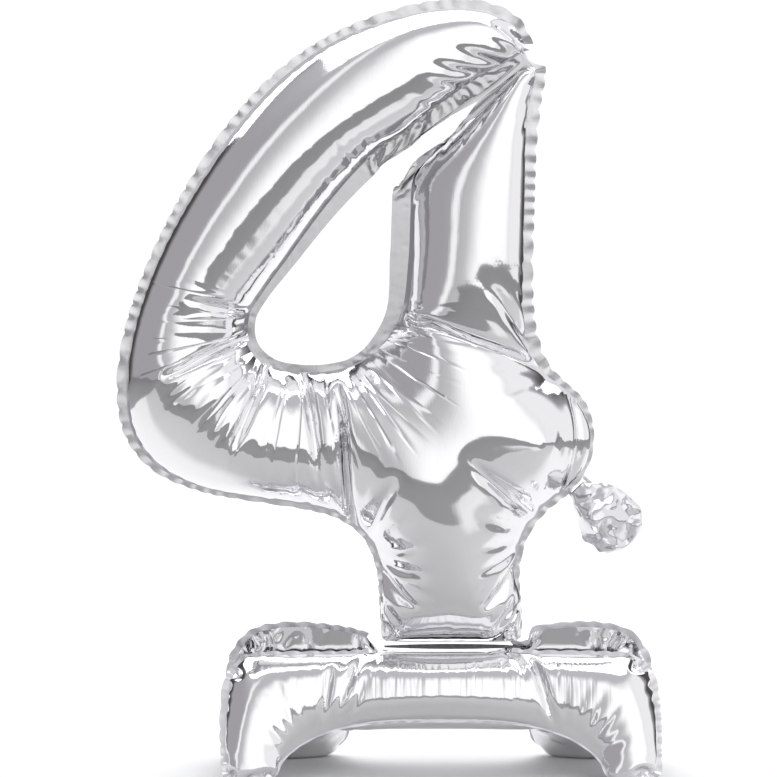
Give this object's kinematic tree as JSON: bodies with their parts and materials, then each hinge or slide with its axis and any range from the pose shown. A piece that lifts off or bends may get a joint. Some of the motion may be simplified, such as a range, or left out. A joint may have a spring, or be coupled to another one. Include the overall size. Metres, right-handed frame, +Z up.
{
  "type": "foil number balloon",
  "caption": "Self-standing silver foil balloon in the shape of the figure 4, on an inflated stem with a two-legged base.",
  "frame": {"origin": "on the floor, midway across the overall width and depth", "axes": "+Z up, the front of the figure faces -Y, +X to the right as seen from the front"},
  "size_m": [0.5269, 0.2308, 0.7393],
  "materials": {
    "mirror_film": "silver metallised film, mirror bright, creased at the bends",
    "welded_seam": "two plies of silver film welded flat, crinkled and scalloped",
    "valve_film": "clear thin film, unmetallised"
  },
  "bodies": {
    "number": {"number_front_film": "mirror_film", "number_back_film": "mirror_film", "number_edge_seal": "welded_seam", "counter_edge_seal": "welded_seam", "slot_web": "welded_seam", "waist_weld": "welded_seam", "valve_front_ply": "valve_film", "valve_back_ply": "valve_film"},
    "front_leg": {"front_leg_outer_film": "mirror_film", "front_leg_gusset_film": "mirror_film", "front_leg_edge_seal": "welded_seam"},
    "rear_leg": {"rear_leg_outer_film": "mirror_film", "rear_leg_gusset_film": "mirror_film", "rear_leg_edge_seal": "welded_seam"},
    "filling_neck": {"filling_neck_front_film": "mirror_film", "filling_neck_back_film": "mirror_film", "filling_neck_edge_seal": "welded_seam"}
  },
  "joints": [
    {"name": "front_leg_hinge", "type": "hinge", "parent": "number", "child": "front_leg", "pos_m": [0.05, 0, 0.118], "axis": [1, 0, 0], "range_deg": [-10, 6], "stiffness_Nm_per_rad": 1},
    {"name": "rear_leg_hinge", "type": "hinge", "parent": "number", "child": "rear_leg", "pos_m": [0.05, 0, 0.118], "axis": [1, 0, 0], "range_deg": [-6, 10], "stiffness_Nm_per_rad": 1},
    {"name": "neck_flap", "type": "hinge", "parent": "number", "child": "filling_neck", "pos_m": [0.17896, 0, 0.27795], "axis": [0.766, 0, 0.6428], "range_deg": [-50, 50], "stiffness_Nm_per_rad": 0.01}
  ]
}
